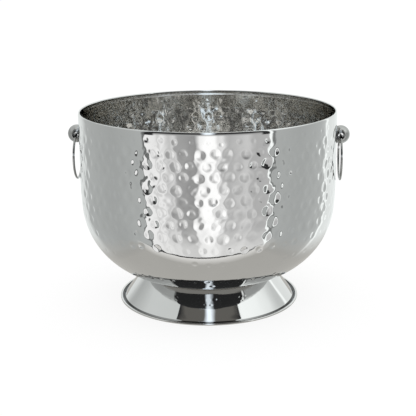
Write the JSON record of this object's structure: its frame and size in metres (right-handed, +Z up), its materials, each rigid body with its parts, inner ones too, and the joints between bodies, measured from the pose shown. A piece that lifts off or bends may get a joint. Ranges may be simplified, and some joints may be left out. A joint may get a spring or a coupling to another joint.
{
  "type": "champagne bucket",
  "caption": "Round hammered-steel champagne bucket: deep open bowl on a flared conical foot, with a hanging ring handle on a ball lug at each side.",
  "frame": {"origin": "on the floor under the centre of the bowl", "axes": "+Z up along the bowl's axis, +X towards the right ball lug, so the two handles lie along X"},
  "size_m": [0.3988, 0.362, 0.2745],
  "materials": {
    "hammered_steel": "mirror-polished stainless steel with rows of round hammer marks",
    "polished_steel": "smooth mirror-polished stainless steel",
    "satin_steel": "satin cast stainless steel",
    "wire_steel": "bright drawn wire",
    "silver_braze": "dull silver braze metal"
  },
  "bodies": {
    "vessel": {"bowl": "hammered_steel", "foot": "polished_steel", "foot_braze": "silver_braze", "left_ball_lug": "satin_steel", "left_lug_braze": "silver_braze", "right_ball_lug": "satin_steel", "right_lug_braze": "silver_braze"},
    "left_ring": {"left_ring": "wire_steel"},
    "right_ring": {"right_ring": "wire_steel"}
  },
  "joints": [
    {"name": "left_ring_swing", "type": "hinge", "parent": "vessel", "child": "left_ring", "pos_m": [-0.1867, 0, 0.238], "axis": [0, 1, 0], "range_deg": [-3.2, 188]},
    {"name": "right_ring_swing", "type": "hinge", "parent": "vessel", "child": "right_ring", "pos_m": [0.1867, 0, 0.238], "axis": [0, -1, 0], "range_deg": [-3.2, 188]}
  ]
}
